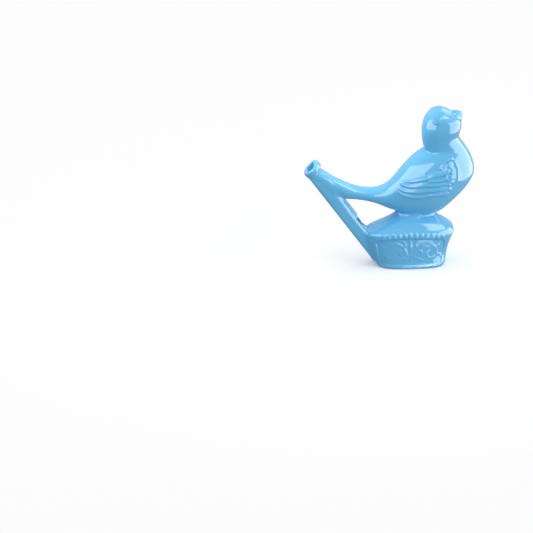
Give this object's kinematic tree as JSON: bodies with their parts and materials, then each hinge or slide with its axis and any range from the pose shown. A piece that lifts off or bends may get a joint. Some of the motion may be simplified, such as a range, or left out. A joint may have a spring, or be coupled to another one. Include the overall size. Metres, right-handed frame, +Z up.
{
  "type": "water bird whistle",
  "caption": "Moulded plastic bird whistle with a slanting mouthpiece tube, a sounding window above a hollow water tank, and a perched bird with relief wings",
  "frame": {"origin": "middle of the whistle's length and width, on the table plane under the tank", "axes": "+X from the mouthpiece towards the breast, +Y to the bird's left, +Z up"},
  "size_m": [0.0686, 0.0214, 0.0657],
  "materials": {
    "right_half_shell": "light blue glossy polystyrene",
    "left_half_shell": "light blue glossy polystyrene"
  },
  "bodies": {
    "root": {"right_half_shell": "right_half_shell", "left_half_shell": "left_half_shell"}
  },
  "joints": []
}
